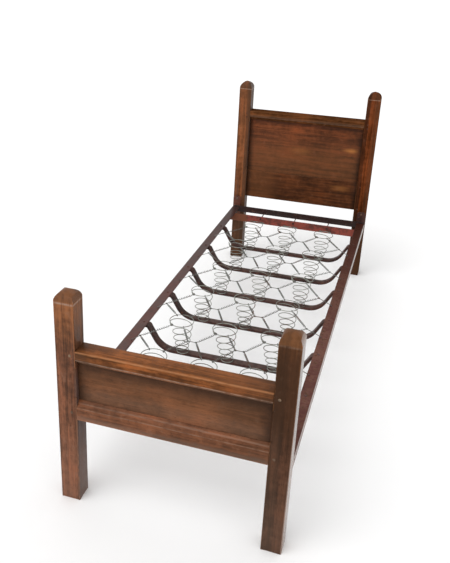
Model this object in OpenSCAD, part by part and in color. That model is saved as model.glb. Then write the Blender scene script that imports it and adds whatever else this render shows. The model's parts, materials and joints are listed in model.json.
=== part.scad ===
// Single bed: an oak head and foot, joined by an angle-iron frame that carries a coil-spring deck.
// The origin is on the floor, in the middle of the bed. +Y points to the head, +Z up.

/* [Overall] */
// Width across the posts
bed_w = 690; // [660:5:760]
// Clear length between the foot posts and the head posts
rail_span = 1930; // [1900:5:2000]
// Height of the side rails' top above the floor
rail_top = 292; // [280:1:310]

/* [Posts] */
// Side of a square foot post
foot_post_w = 61; // [56:1:66]
// Height of a foot post up to the spring of its domed top
foot_post_h = 676; // [620:1:740]
// Rise of a foot post's domed top
foot_dome_h = 31; // [31:1:40]
// Side of a square head post
head_post_w = 61; // [56:1:66]
// Height of a head post up to the spring of its domed top
head_post_h = 915; // [860:1:980]
// Rise of a head post's domed top
head_dome_h = 36; // [31:1:44]
// Width of the eased corner along each post
post_ease = 1.5; // [1:0.5:3]
// Width of the stopped chamfer beside each panel
stop_chamfer = 5; // [3:0.5:7]
// Distance from a rail to the end of the stopped chamfer
chamfer_stop = 14; // [8:1:24]

/* [Joinery] */
// Length of a rail's tenon
tenon_l = 38; // [30:1:42]
// Thickness of a rail's tenon
tenon_t = 16; // [12:1:18]
// Height of the shoulder above and below a tenon
tenon_shoulder = 3; // [2:0.5:5]
// Depth of the groove that holds a panel
groove_d = 8; // [6:1:10]
// Thickness of a panel
panel_t = 12; // [10:1:14]
// Thickness of the tongue round a panel
tongue_t = 8; // [6:0.5:9]
// Clearance on each side of a tenon or tongue
wood_fit = 0.2; // [0.1:0.1:0.4]
// Radius of a peg in the foot
foot_peg_r = 4.5; // [3:0.5:5]
// Radius of a peg in the head
head_peg_r = 3.5; // [3:0.5:4]
// Distance from a post's inner edge to its pegs
peg_inset = 16; // [12:1:20]
// Height that a peg stands proud of the post
peg_proud = 0.6; // [0.2:0.2:1.2]

/* [Footboard] */
// Height of the top rail's upper face
foot_rail_top = 530; // [500:1:600]
// Height of the top rail's section
foot_rail_h = 42; // [36:1:56]
// Height of the top rails' plain face above the cove
fascia_h = 30; // [24:1:32]
// Height of the bottom rail's underside
foot_low_z = 300; // [280:1:330]
// Height of the bottom rail's section
foot_low_h = 62; // [50:1:80]
// Thickness of the bottom rail
foot_low_t = 45; // [40:1:50]
// Height of the sloped top edge of the bottom rail
low_slope_h = 20; // [12:1:26]
// Depth of the panel behind the front face
foot_recess = 17; // [14:1:22]

/* [Headboard] */
// Height of the top rail's upper face
head_rail_top = 808; // [780:1:850]
// Height of the top rail's section
head_rail_h = 42; // [38:1:56]
// Height of the bottom rail's underside
head_low_z = 350; // [340:1:370]
// Height of the bottom rail's section
head_low_h = 145; // [120:1:170]
// Thickness of the bottom rail
head_low_t = 24; // [20:1:28]
// Depth of the panel behind the front face
head_recess = 22; // [18:1:24]
// Step from the bottom rail's face back to the panel
head_step = 2; // [1:0.5:4]

/* [Iron frame] */
// Leg of the side rails' angle iron
rail_leg = 38; // [34:1:44]
// Thickness of the angle iron
rail_t = 4; // [3:0.5:5]
// Radius of the angle iron's inner corner
root_r = 4; // [3:0.5:5]
// Set-back of the rails from the posts' outer faces
rail_inset = 1; // [0.5:0.5:3]
// Thickness of the corner brackets
plate_t = 4; // [3:0.5:6]
// Width of a corner bracket's plate, at the post's outer side
plate_w = 40; // [36:1:50]
// Height of a corner bracket's plate above the rail
plate_rise = 58; // [50:1:70]
// Length of a corner bracket's leg along the rail
bracket_leg = 60; // [56:1:66]
// Thickness of the flat bars across the ends
bar_t = 5; // [4:0.5:6]
// Height of the bar against the posts
end_bar_h = 31; // [26:1:36]
// Height of that bar's top edge above the side rails
end_bar_rise = 6; // [3:1:10]
// Height of the cross bar between the rails
cross_bar_h = 38; // [30:1:38]
// Distance from the posts to the cross bar
cross_bar_gap = 102; // [98:1:125]
// Length of each leg of a cross bar's cleat
cleat_leg = 24; // [20:1:30]
// Clearance between iron pieces that touch
iron_fit = 0.2; // [0.1:0.1:0.5]
// Radius of a rivet's or bolt's shank
shank_r = 3; // [2.5:0.25:3.5]
// Radius of a tie rod between the end bars
tie_rod_r = 2.5; // [2:0.25:3]

/* [Cross laths] */
// Number of cross laths, one under each row of springs
lath_count = 6; // [6]
// Distance from the posts to the first lath, and from the last lath to the posts
end_lath = 312.5; // [305:0.5:325]
// Width of a lath
lath_w = 30; // [26:1:36]
// Thickness of a lath's web
lath_t = 3; // [2:0.5:4]
// Depth of a lath's down-turned edges
lath_lip = 10; // [8:0.5:12]
// Drop of a lath's middle below its ends
lath_drop = 87.8; // [80:0.2:95]
// Radius of the wide bend at the foot of a lath's slope
wide_bend = 75; // [60:1:85]
// Radius of the tight bend at the top of a lath's slope
tight_bend = 16; // [14:1:20]
// Steepness of a lath's slope
slope_angle = 60; // [55:1:65]

/* [Spring deck] */
// Distance from a rail's edge in to the middles of the springs beside it
spring_inset = 136; // [131:1:146]
// Height from a lath to the top ring's wire
spring_h = 122; // [112:1:128]
// Radius of a spring's top ring, to the wire's centre
ring_r = 44; // [38:1:48]
// Radius of a spring's body, up to where it opens into the top ring
waist_r = 27; // [24:1:28]
// Radius of a spring's seat
seat_r = 20; // [18:1:22]
// Turns in a spring
turns = 5.125; // [5.125]
// Diameter of the spring wire
wire_d = 2.8; // [2.5:0.1:3.2]
// Rise of the wire round the top ring
ring_rise = 5; // [4.5:0.5:6]
// Radius of the links' end eyes, to the wire's centre
eye_r = 3; // [3:0.1:3.4]
// Radius of the wire that makes an eye
eye_wire_r = 0.9; // [0.7:0.1:0.9]
// Outer radius of a small tension spring
tension_r = 3; // [2.5:0.25:3.5]
// Length of the plain wire between two link joints
bridge_l = 30; // [24:1:40]
// Sag of the link joints below the rings
link_sag = 4; // [2:1:8]
// How far towards the head the link joints lie from the middle between two rows
link_lean = 12; // [0:1:30]
// Distance from a rail's edge in to the side ties' joint
tie_inset = 38; // [30:1:45]
// How far towards the head a side tie's joint lies from the middle between two rows
tie_lean = -12; // [-20:1:10]
// How far towards the foot a side tie's hook enters the rail
hook_lean = 13; // [8:1:18]

/* [Hidden] */

OAK = "#6b3f22";
OAK_DARK = "#4f3020";
PEG = "#8a6844";
IRON = "#4a3236";
OXIDE = "#7c2b26";
STEEL = "#7d817c";

// Plan: the posts' faces along Y, and their inner faces across X
half_w = bed_w / 2;
total_l = foot_post_w + rail_span + head_post_w;
foot_front = -total_l / 2;
foot_back = foot_front + foot_post_w;
head_front = foot_back + rail_span;
foot_in = half_w - foot_post_w;
head_in = half_w - head_post_w;

// Side rails: the outer face, the upright leg's inner face and the flat leg's edge
rail_out = half_w - rail_inset;
rail_face = rail_out - rail_t;
rail_edge = rail_out - rail_leg;
rail_under = rail_top - rail_t;
rail_foot = rail_top - rail_leg;
fixing_x = rail_out - plate_w / 2;

// Ends: each is drawn for the head, and turned about the middle of the rails for the foot
rail_mid = (foot_back + head_front) / 2;
plate_face = head_front - plate_t;
end_bar_face = plate_face - bar_t;
end_bar_top = rail_top + end_bar_rise;
end_bar_z = end_bar_top - end_bar_h / 2;
end_bar_x = rail_face - plate_t - 2 * iron_fit;
cross_bar_face = head_front - cross_bar_gap;
cross_bar_top = rail_under - iron_fit;
cross_bar_z = cross_bar_top - cross_bar_h / 2;
plate_bottom = rail_foot;
plate_top = rail_top + plate_rise;
screw_z = [plate_top - 14, plate_bottom + 6.5];
leg_bolt_y = [plate_face - 20, plate_face - bracket_leg + 12];
bolt_z = rail_top - rail_leg * 0.55;

// Laths: the top face's height at the ends and in the middle
lath_end_z = rail_under - iron_fit;
lath_z = lath_end_z - lath_drop;
lath_end_x = rail_face - root_r;
lath_pitch = (rail_span - 2 * end_lath) / (lath_count - 1);
tab_x = rail_edge + 3;
lath_rivet_x = rail_out - rail_leg / 2 - 2;
slope_l = (lath_drop - (wide_bend + tight_bend) * (1 - cos(slope_angle))) / sin(slope_angle);
tight_x = tab_x - tight_bend * sin(slope_angle);
wide_x = tight_x - slope_l * cos(slope_angle) - wide_bend * sin(slope_angle);
function lath_y(i) = foot_back + end_lath + (i - 1) * lath_pitch;

// Springs
wire_r = wire_d / 2;
spring_pitch = rail_edge - spring_inset;
columns = [-spring_pitch, 0, spring_pitch];
seat_z = lath_z + wire_r + iron_fit;
deck_z = lath_z + spring_h;
body_h = deck_z - seat_z - ring_rise;
start_angle = 168;
flat_turn = 0.62;
ring_turn = turns - 1;
open_turn = 0.75;
curl_steps = 8;
tube_sides = 5;
gap_y = lath_pitch / 2;
tie_x = rail_edge - tie_inset;
link_z = deck_z - link_sag;
tie_z = deck_z - 4;
hole_x = rail_edge + 8;
hole_r = 2.2;
hook_r = 1.5;
tie_r = 1.3;
bridge_r = 1.6;
arm_r = 1.1;
round_fn = 24;

function clamp01(t) = max(0, min(1, t));
function smooth(t) = let(c = clamp01(t)) c * c * (3 - 2 * c);
// Even climb from 0 to 1 that starts and ends level
climb_ease = 0.15;
function climb(t) = let(c = clamp01(t), e = climb_ease)
    c < e ? c * c / (2 * e * (1 - e))
    : c > 1 - e ? 1 - (1 - c) * (1 - c) / (2 * e * (1 - e))
    : (c - e / 2) / (1 - e);
function coil_angle(u) = start_angle + 360 * u;
function coil_r(u) = seat_r + (waist_r - seat_r) * clamp01(u)
    + (ring_r - waist_r) * smooth((u - ring_turn + open_turn) / open_turn);
function coil_z(u) = body_h * climb((u - flat_turn) / (ring_turn - flat_turn))
    + ring_rise * clamp01(u - ring_turn);
function coil_point(u) = [coil_r(u) * cos(coil_angle(u)), coil_r(u) * sin(coil_angle(u)), seat_z + coil_z(u)];
function unit(v) = v / norm(v);
function coil_dir(u) = unit(coil_point(u + 0.01) - coil_point(u - 0.01));

// The wire runs straight between its points, so a link's eye sits on the straight piece at its angle.
// The top ring's turn begins just before the links on the foot's side, and rises from there.
function turn_of(angle) = ((angle % 360 + 360) % 360) / 360;
function ring_place(angle) = (ring_turn + turn_of(angle - coil_angle(ring_turn))) * curl_steps;
function ring_step(angle) = floor(ring_place(angle));
function ring_share(angle) = ring_place(angle) - ring_step(angle);
function step_point(k) = coil_point(k / curl_steps);
function chord(angle) = step_point(ring_step(angle) + 1) - step_point(ring_step(angle));
function chord_angle(angle) = atan2(chord(angle)[1], chord(angle)[0]) - 90;
// Where the seat's wire crosses the lath's middle line, on the side at an angle of 0 or 180
function seat_step(angle) = floor(turn_of(angle - start_angle) * curl_steps);
function seat_cross(angle) = let(p = step_point(seat_step(angle)), q = step_point(seat_step(angle) + 1))
    p[0] + p[1] / (p[1] - q[1]) * (q[0] - p[0]);

// Points along one spring's wire, with a straight end of one diameter
steps = round(turns * curl_steps);
coil_path = concat(
    [coil_point(0) - wire_d * coil_dir(0)],
    [for (i = [0:steps]) step_point(i)],
    [coil_point(turns) + wire_d * coil_dir(turns)]);
function path_dir(p, i) = unit(p[min(i + 1, len(p) - 1)] - p[max(i - 1, 0)]);
function tube_ring(p, i) = let(
        along = path_dir(p, i),
        out = unit([p[i][0], p[i][1], 0]),
        side = unit(out - (out * along) * along),
        up = cross(along, side))
    [for (k = [0:tube_sides - 1]) let(a = 360 * k / tube_sides) p[i] + wire_r * (cos(a) * side + sin(a) * up)];
coil_points = [for (i = [0:len(coil_path) - 1]) each tube_ring(coil_path, i)];
function wall_faces(i) = [for (k = [0:tube_sides - 1]) let(
        a = i * tube_sides + k,
        b = i * tube_sides + (k + 1) % tube_sides,
        c = a + tube_sides,
        d = b + tube_sides) each [[a, c, b], [b, c, d]]];
function cap_faces(first, turn) = [for (k = [1:tube_sides - 2])
    turn ? [first, first + k, first + k + 1] : [first, first + k + 1, first + k]];
coil_faces = concat(
    [for (i = [0:len(coil_path) - 2]) each wall_faces(i)],
    cap_faces(0, true),
    cap_faces((len(coil_path) - 1) * tube_sides, false));

// Least gap between turns, measured on the path's points that are half a turn or more apart
least_gap = min([for (i = [0:len(coil_path) - 1], j = [0:len(coil_path) - 1])
    if (j - i > curl_steps / 2) norm(coil_path[i] - coil_path[j]) - wire_d]);
echo(spring_least_gap_mm = least_gap);

// ---- Helpers: a flat outline pushed along X or Y, and copies for the other side or end

module along_x(from, to) {
    translate([from, 0, 0]) rotate([90, 0, 90]) linear_extrude(to - from) children();
}

module along_y(from, to) {
    translate([0, to, 0]) rotate([90, 0, 0]) linear_extrude(to - from) children();
}

module block(low, high) {
    translate(low) cube(high - low);
}

module left() {
    mirror([1, 0, 0]) children();
}

module both_sides() {
    children();
    left() children();
}

module at_foot() {
    translate([0, 2 * rail_mid, 0]) mirror([0, 1, 0]) children();
}

module both_ends() {
    children();
    at_foot() children();
}

// A round bar from one point to another
module rod(from, to, r, fn = round_fn) {
    d = to - from;
    translate(from)
        rotate([0, acos(d[2] / norm(d)), atan2(d[1], d[0])])
            cylinder(r = r, h = norm(d), $fn = fn);
}

// Short upright barrel where wires meet
module knuckle(at, r) {
    translate(at - [0, 0, r]) cylinder(r = r, h = 2 * r, $fn = round_fn);
}

// ---- Posts

// Front view of a post: a square shaft with a pointed arch on top, or a round one where the arch is low
module post_outline(w, h, rise) {
    arc_r = (rise * rise + w * w / 4) / w;
    low_r = (rise * rise + w * w / 4) / (2 * rise);
    translate([-w / 2, 0]) square([w, h]);
    intersection() {
        translate([-w / 2, h]) square([w, rise + 1]);
        if (2 * rise < w) {
            translate([0, h + rise - low_r]) circle(r = low_r, $fn = 96);
        } else {
            intersection() {
                translate([arc_r - w / 2, h]) circle(r = arc_r, $fn = 96);
                translate([w / 2 - arc_r, h]) circle(r = arc_r, $fn = 96);
            }
        }
    }
}

// A square post whose four sides close in a dome, centred on the origin
module post_blank(w, h, rise) {
    e = post_ease;
    s = w / 2;
    intersection() {
        along_y(-s, s) post_outline(w, h, rise);
        along_x(-s, s) post_outline(w, h, rise);
        linear_extrude(h + rise + 1)
            polygon([[-s, e - s], [e - s, -s], [s - e, -s], [s, e - s],
                     [s, s - e], [s - e, s], [e - s, s], [-s, s - e]]);
    }
}

// Room for a tenon in the post on the right
module mortise(inner, y_mid, low, high) {
    block([inner - 1, y_mid - tenon_t / 2 - wood_fit, low + tenon_shoulder - wood_fit],
          [inner + tenon_l + 1, y_mid + tenon_t / 2 + wood_fit, high - tenon_shoulder + wood_fit]);
}

// Groove for a panel's tongue in the post on the right
module post_groove(inner, y_mid, low, high) {
    block([inner - 1, y_mid - tongue_t / 2 - wood_fit, low - groove_d - 1],
          [inner + groove_d + 1, y_mid + tongue_t / 2 + wood_fit, high + groove_d + 1]);
}

module stopped_chamfer(inner, front, low, high) {
    translate([inner, front, low + chamfer_stop])
        rotate([0, 0, 45])
            translate([-stop_chamfer / sqrt(2), -stop_chamfer / sqrt(2), 0])
                cube([stop_chamfer * sqrt(2), stop_chamfer * sqrt(2), high - low - 2 * chamfer_stop]);
}

foot_tongue_y = foot_front + foot_recess + panel_t - tongue_t / 2;
head_tongue_y = head_front + head_recess + panel_t - tongue_t / 2;
foot_gap_low = foot_low_z + foot_low_h;
foot_gap_high = foot_rail_top - foot_rail_h;
head_gap_low = head_low_z + head_low_h;
head_gap_high = head_rail_top - head_rail_h;
foot_peg_z = [foot_rail_top - foot_rail_h / 2 + 5, foot_low_z + foot_low_h / 2 - 8];
head_peg_z = [head_rail_top - head_rail_h / 2 + 7, head_rail_top - head_rail_h / 2 - 12,
              head_low_z + 12, head_low_z + head_low_h - 17];
foot_peg_l = foot_recess + panel_t + 14;
head_peg_l = head_recess + panel_t + 10;
wood_screw_l = 30;
screw_head_h = 2.5;

module peg_row(inner, front, heights, r, length) {
    for (z = heights)
        along_y(front, front + length) translate([inner + peg_inset, z]) circle(r = r, $fn = round_fn);
}

// Screw holes that the corner bracket needs, on the head's side
module fixing_holes(r) {
    for (z = screw_z)
        along_y(plate_face - 1, head_front + wood_screw_l)
            translate([fixing_x, z]) circle(r = r, $fn = round_fn);
    along_y(end_bar_face - 1, head_front + wood_screw_l)
        translate([fixing_x, end_bar_z]) circle(r = r, $fn = round_fn);
}

module foot_post() {
    color(OAK) difference() {
        translate([half_w - foot_post_w / 2, foot_front + foot_post_w / 2, 0])
            post_blank(foot_post_w, foot_post_h, foot_dome_h);
        mortise(foot_in, foot_tongue_y, foot_gap_high, foot_rail_top);
        mortise(foot_in, foot_tongue_y, foot_low_z, foot_gap_low - low_slope_h);
        post_groove(foot_in, foot_tongue_y, foot_gap_low, foot_gap_high);
        stopped_chamfer(foot_in, foot_front, foot_gap_low, foot_gap_high);
        peg_row(foot_in, foot_front - 1, foot_peg_z, foot_peg_r + 0.05, foot_peg_l + 2);
        at_foot() fixing_holes(shank_r);
    }
}

module head_post() {
    color(OAK) difference() {
        translate([half_w - head_post_w / 2, head_front + head_post_w / 2, 0])
            post_blank(head_post_w, head_post_h, head_dome_h);
        mortise(head_in, head_tongue_y, head_gap_high, head_rail_top);
        mortise(head_in, head_tongue_y, head_low_z, head_gap_low);
        post_groove(head_in, head_tongue_y, head_gap_low, head_gap_high);
        stopped_chamfer(head_in, head_front, head_gap_low, head_gap_high);
        peg_row(head_in, head_front - 1, head_peg_z, head_peg_r + 0.05, head_peg_l + 2);
        fixing_holes(shank_r);
    }
}

// ---- Rails and panels

// A rail between the posts, with a tenon at each end; its outline is the child
module tenoned_rail(inner, y_mid, low, high) {
    along_x(-inner, inner) children();
    both_sides()
        block([inner - 5, y_mid - tenon_t / 2, low + tenon_shoulder],
              [inner + tenon_l, y_mid + tenon_t / 2, high - tenon_shoulder]);
}

module rail_groove(inner, y_mid, low, high) {
    end = inner + groove_d + 1;
    block([-end, y_mid - tongue_t / 2 - wood_fit, low], [end, y_mid + tongue_t / 2 + wood_fit, high]);
}

// Top rail's section: eased top, plain face, then a cove down to the panel
module top_rail_outline(front, depth, top, h) {
    e = 2;
    difference() {
        polygon([[front, top - h], [front + depth, top - h], [front + depth, top - e],
                 [front + depth - e, top], [front + e, top], [front, top - e]]);
        translate([front, top - h]) circle(r = h - fascia_h, $fn = 64);
    }
}

module foot_top_rail() {
    color(OAK) difference() {
        tenoned_rail(foot_in, foot_tongue_y, foot_gap_high, foot_rail_top)
            top_rail_outline(foot_front, foot_post_w, foot_rail_top, foot_rail_h);
        rail_groove(foot_in, foot_tongue_y, foot_gap_high - 1, foot_gap_high + groove_d + 1);
        both_sides() peg_row(foot_in, foot_front - 1, foot_peg_z, foot_peg_r + 0.05, foot_peg_l + 2);
    }
}

module foot_bottom_rail() {
    color(OAK) difference() {
        tenoned_rail(foot_in, foot_tongue_y, foot_low_z, foot_gap_low - low_slope_h)
            translate([foot_front, foot_low_z])
                polygon([[0, 0], [foot_low_t, 0], [foot_low_t, foot_low_h], [foot_recess, foot_low_h],
                         [0, foot_low_h - low_slope_h]]);
        rail_groove(foot_in, foot_tongue_y, foot_gap_low - groove_d - 1, foot_gap_low + 1);
        both_sides() peg_row(foot_in, foot_front - 1, foot_peg_z, foot_peg_r + 0.05, foot_peg_l + 2);
    }
}

module head_top_rail() {
    color(OAK) difference() {
        tenoned_rail(head_in, head_tongue_y, head_gap_high, head_rail_top)
            top_rail_outline(head_front, head_post_w, head_rail_top, head_rail_h);
        rail_groove(head_in, head_tongue_y, head_gap_high - 1, head_gap_high + groove_d + 1);
        both_sides() peg_row(head_in, head_front - 1, head_peg_z, head_peg_r + 0.05, head_peg_l + 2);
    }
}

module head_bottom_rail() {
    front = head_front + head_recess - head_step;
    color(OAK_DARK) difference() {
        tenoned_rail(head_in, head_tongue_y, head_low_z, head_gap_low)
            translate([front, head_low_z])
                polygon([[0, 0], [head_low_t, 0], [head_low_t, head_low_h],
                         [head_step, head_low_h], [0, head_low_h - head_step]]);
        rail_groove(head_in, head_tongue_y, head_gap_low - groove_d - 1, head_gap_low + 1);
        both_sides() peg_row(head_in, head_front - 1, head_peg_z, head_peg_r + 0.05, head_peg_l + 2);
    }
}

// A panel with a thinner tongue round it, flush with its back
module panel(inner, face, low, high) {
    gap = 0.5;
    back = face + panel_t;
    block([gap - inner, face, low + gap], [inner - gap, back, high - gap]);
    block([-inner - groove_d, back - tongue_t, low - groove_d],
          [inner + groove_d, back, high + groove_d]);
}

module foot_panel() {
    color(OAK_DARK) panel(foot_in, foot_front + foot_recess, foot_gap_low, foot_gap_high);
}

module head_panel() {
    color(OAK_DARK) panel(head_in, head_front + head_recess, head_gap_low, head_gap_high);
}

module foot_pegs() {
    color(PEG) both_sides()
        peg_row(foot_in, foot_front - peg_proud, foot_peg_z, foot_peg_r, foot_peg_l + peg_proud);
}

module head_pegs() {
    color(PEG) both_sides()
        peg_row(head_in, head_front - peg_proud, head_peg_z, head_peg_r, head_peg_l + peg_proud);
}

// ---- Iron frame

// Angle section of the right-hand side rail, with a rounded inner corner
module rail_outline() {
    difference() {
        translate([rail_edge, rail_foot]) square([rail_leg, rail_leg]);
        translate([rail_edge - 1, rail_foot - 1])
            square([rail_leg - rail_t - root_r + 1, rail_leg - rail_t + 1]);
        translate([rail_edge - 1, rail_foot - 1])
            square([rail_leg - rail_t + 1, rail_leg - rail_t - root_r + 1]);
        translate([rail_face - root_r, rail_under - root_r]) circle(r = root_r, $fn = 32);
    }
}

// A hole up through the flat leg
module flange_hole(x, y, r) {
    translate([x, y, rail_under - 1]) cylinder(r = r, h = rail_t + 2, $fn = round_fn);
}

function gap_mid(i) = lath_y(i) + gap_y;

// Countersunk hole across the upright leg
module leg_hole(y, z) {
    translate([rail_face - 1, y, z]) rotate([0, 90, 0]) cylinder(r = shank_r + 0.1, h = rail_t + 2, $fn = round_fn);
    translate([rail_face, y, z]) rotate([0, 90, 0])
        cylinder(r1 = shank_r + 0.1, r2 = 2 * shank_r + 0.1, h = rail_t, $fn = round_fn);
}

module side_rail() {
    ends = plate_t + iron_fit;
    notch = plate_t + bar_t + screw_head_h + 3 * iron_fit;
    color(IRON) difference() {
        along_y(foot_back + ends, head_front - ends) rail_outline();
        both_ends() block([rail_edge - 1, head_front - notch, rail_under - 10], [rail_face, head_front, rail_top + 1]);
        for (i = [1:lath_count]) flange_hole(lath_rivet_x, lath_y(i), shank_r + 0.1);
        for (i = [1:lath_count - 1]) flange_hole(hole_x, gap_mid(i) - hook_lean, hole_r);
        both_ends() {
            for (y = leg_bolt_y) leg_hole(y, bolt_z);
            leg_hole(cleat_leg_y, cross_bar_z);
        }
    }
}

// Corner bracket at the head's right: a plate on the post and a leg along the rail
module bracket_shape() {
    corner = 8;
    difference() {
        union() {
            along_y(plate_face, head_front)
                polygon([[rail_out - plate_w, plate_bottom], [rail_out, plate_bottom],
                         [rail_out, plate_top - corner], [rail_out - corner, plate_top],
                         [rail_out - plate_w + corner, plate_top], [rail_out - plate_w, plate_top - corner]]);
            block([rail_face - plate_t, plate_face - bracket_leg, plate_bottom],
                  [rail_face - iron_fit / 2, head_front - plate_t / 2, rail_under - 5]);
        }
        fixing_holes(shank_r + 0.1);
        for (y = leg_bolt_y)
            translate([rail_face - plate_t - 1, y, bolt_z]) rotate([0, 90, 0])
                cylinder(r = shank_r + 0.1, h = plate_t + 2, $fn = round_fn);
    }
}

module bracket(foot = false, on_left = false) {
    color(IRON)
        translate([0, foot ? 2 * rail_mid : 0, 0])
            mirror([0, foot ? 1 : 0, 0]) mirror([on_left ? 1 : 0, 0, 0]) bracket_shape();
}

// Screw with a domed head, drawn along +Y with its head's seat at the origin
module wood_screw(length, head_r) {
    rotate([-90, 0, 0]) {
        cylinder(r = shank_r - 0.1, h = length - 3, $fn = round_fn);
        translate([0, 0, length - 3.01]) cylinder(r1 = shank_r - 0.1, r2 = 0.8, h = 3, $fn = round_fn);
        translate([0, 0, -screw_head_h])
            cylinder(r1 = head_r * 0.55, r2 = head_r, h = screw_head_h, $fn = round_fn);
    }
}

module bracket_screws() {
    color(STEEL) both_ends() both_sides() for (z = screw_z)
        translate([fixing_x, plate_face, z]) wood_screw(wood_screw_l, 5);
}

module end_bar_bolts() {
    color(STEEL) both_ends() both_sides()
        translate([fixing_x, end_bar_face, end_bar_z]) wood_screw(wood_screw_l + bar_t, 6.5);
}

// Flush bolt through the rail and the bracket's leg, with a nut inside
module leg_bolt() {
    grip = rail_t + plate_t;
    translate([rail_out, 0, 0]) rotate([0, -90, 0]) {
        cylinder(r1 = 2 * shank_r, r2 = shank_r, h = rail_t, $fn = round_fn);
        cylinder(r = shank_r, h = grip + 8, $fn = round_fn);
        translate([0, 0, grip + iron_fit]) cylinder(r = 7, h = 5.5, $fn = 6);
    }
}

module bracket_bolts() {
    color(STEEL) both_ends() both_sides() for (y = leg_bolt_y)
        translate([0, y, bolt_z]) leg_bolt();
}

// Holes for the tie rods, and pegs of the end ties, along Y
module rod_holes(x_list, z, r) {
    for (x = x_list)
        along_y(cross_bar_face - 20, head_front) translate([x, z]) circle(r = r, $fn = round_fn);
}

module end_bar() {
    color(IRON) difference() {
        block([-end_bar_x, end_bar_face, end_bar_top - end_bar_h], [end_bar_x, plate_face, end_bar_top]);
        both_sides() fixing_holes(shank_r + 0.1);
        rod_holes(columns, rod_z, tie_rod_r + 0.1);
    }
}

rod_z = cross_bar_top - 12;
cleat_leg_y = cross_bar_face + bar_t + cleat_leg * 0.6;
cleat_rivet_x = rail_face - cleat_leg * 0.6;
end_tie_angle = [60, 120];
end_tie_z = cross_bar_top - cross_bar_h + 7;
end_tie_x = [for (c = columns, a = end_tie_angle) c + ring_r * cos(a)];

// Its top corners are cut to clear the rounded inner corner of the rails
module cross_bar() {
    end = rail_face - iron_fit;
    low = cross_bar_top - cross_bar_h;
    color(OXIDE) difference() {
        along_y(cross_bar_face, cross_bar_face + bar_t)
            polygon([[-end, low], [end, low], [end, cross_bar_top - root_r], [end - root_r, cross_bar_top],
                     [root_r - end, cross_bar_top], [-end, cross_bar_top - root_r]]);
        rod_holes(columns, rod_z, tie_rod_r + 0.1);
        rod_holes(end_tie_x, end_tie_z, hook_r + 0.3);
        both_sides() along_y(cross_bar_face - 1, cross_bar_face + bar_t + 1)
            translate([cleat_rivet_x, cross_bar_z]) circle(r = shank_r + 0.1, $fn = round_fn);
    }
}

// Small angle that fixes a cross bar to a side rail
module cleat() {
    back = cross_bar_face + bar_t + iron_fit / 2;
    low = cross_bar_top - cross_bar_h;
    difference() {
        union() {
            block([rail_face - plate_t, back, low], [rail_face - iron_fit / 2, back + cleat_leg, cross_bar_top - 5]);
            block([rail_face - cleat_leg, back, low], [rail_face - 1, back + plate_t, cross_bar_top - 5]);
        }
        translate([rail_face - plate_t - 1, cleat_leg_y, cross_bar_z]) rotate([0, 90, 0])
            cylinder(r = shank_r + 0.1, h = plate_t + 2, $fn = round_fn);
        along_y(back - 1, back + plate_t + 1)
            translate([cleat_rivet_x, cross_bar_z]) circle(r = shank_r + 0.1, $fn = round_fn);
    }
}

module cross_bar_cleats() {
    color(IRON) both_ends() both_sides() cleat();
}

// A rivet drawn along +Z from its head's seat, with a closed head at each end of its grip
module rivet(grip) {
    translate([0, 0, -2.2]) cylinder(r1 = shank_r, r2 = 2 * shank_r - 0.5, h = 2.2, $fn = round_fn);
    cylinder(r = shank_r, h = grip, $fn = round_fn);
    translate([0, 0, grip]) cylinder(r1 = 2 * shank_r - 0.5, r2 = shank_r, h = 2.2, $fn = round_fn);
}

module cross_bar_rivets() {
    color(IRON) both_ends() both_sides() {
        translate([cleat_rivet_x, cross_bar_face, cross_bar_z]) rotate([-90, 0, 0])
            rivet(bar_t + iron_fit / 2 + plate_t);
        translate([rail_out, cleat_leg_y, cross_bar_z]) rotate([0, -90, 0]) {
            cylinder(r1 = 2 * shank_r, r2 = shank_r, h = rail_t, $fn = round_fn);
            cylinder(r = shank_r, h = rail_t + plate_t, $fn = round_fn);
            translate([0, 0, rail_t + plate_t])
                cylinder(r1 = 2 * shank_r - 0.5, r2 = shank_r, h = 2.2, $fn = round_fn);
        }
    }
}

// Rods that hold a cross bar off the end bar, headed at both ends
module tie_rods() {
    color(IRON) for (x = columns) translate([x, 0, rod_z]) {
        rod([0, cross_bar_face - 3, 0], [0, plate_face + 3, 0], tie_rod_r);
        for (y = [[cross_bar_face - 3, cross_bar_face], [plate_face, plate_face + 3]])
            rod([0, y[0], 0], [0, y[1], 0], 2 * tie_rod_r);
    }
}

// ---- Cross laths

// Right half of a line that runs a distance d below the lath's top face
function lath_line(d) = concat(
    [for (a = [0:6:slope_angle])
        [wide_x + (wide_bend + d) * sin(a), lath_z + wide_bend - (wide_bend + d) * cos(a)]],
    [for (a = [slope_angle:-12:0])
        [tab_x - (tight_bend - d) * sin(a), lath_end_z - tight_bend + (tight_bend - d) * cos(a)]],
    [[lath_end_x, lath_end_z - d]]);
function mirrored(p) = [for (i = [len(p) - 1:-1:0]) [-p[i][0], p[i][1]]];
function reversed(p) = [for (i = [len(p) - 1:-1:0]) p[i]];

module lath_band(depth) {
    top = lath_line(0);
    under = lath_line(depth);
    polygon(concat(mirrored(top), top, reversed(under), mirrored(reversed(under))));
}

// A flat strip with down-turned edges, dropped between the side rails
module cross_lath(i) {
    y = lath_y(i);
    lip_t = 2.5;
    color(IRON) difference() {
        union() {
            along_y(y - lath_w / 2, y + lath_w / 2) lath_band(lath_t);
            along_y(y - lath_w / 2, y - lath_w / 2 + lip_t) lath_band(lath_lip);
            along_y(y + lath_w / 2 - lip_t, y + lath_w / 2) lath_band(lath_lip);
        }
        both_sides() translate([lath_rivet_x, y, lath_end_z - lath_t - 1])
            cylinder(r = shank_r + 0.1, h = lath_t + 2, $fn = round_fn);
    }
}

module lath_rivets() {
    color(IRON) both_sides() for (i = [1:lath_count])
        translate([lath_rivet_x, lath_y(i), lath_end_z - lath_t]) rivet(rail_t + iron_fit + lath_t);
}

// ---- Springs

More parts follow.
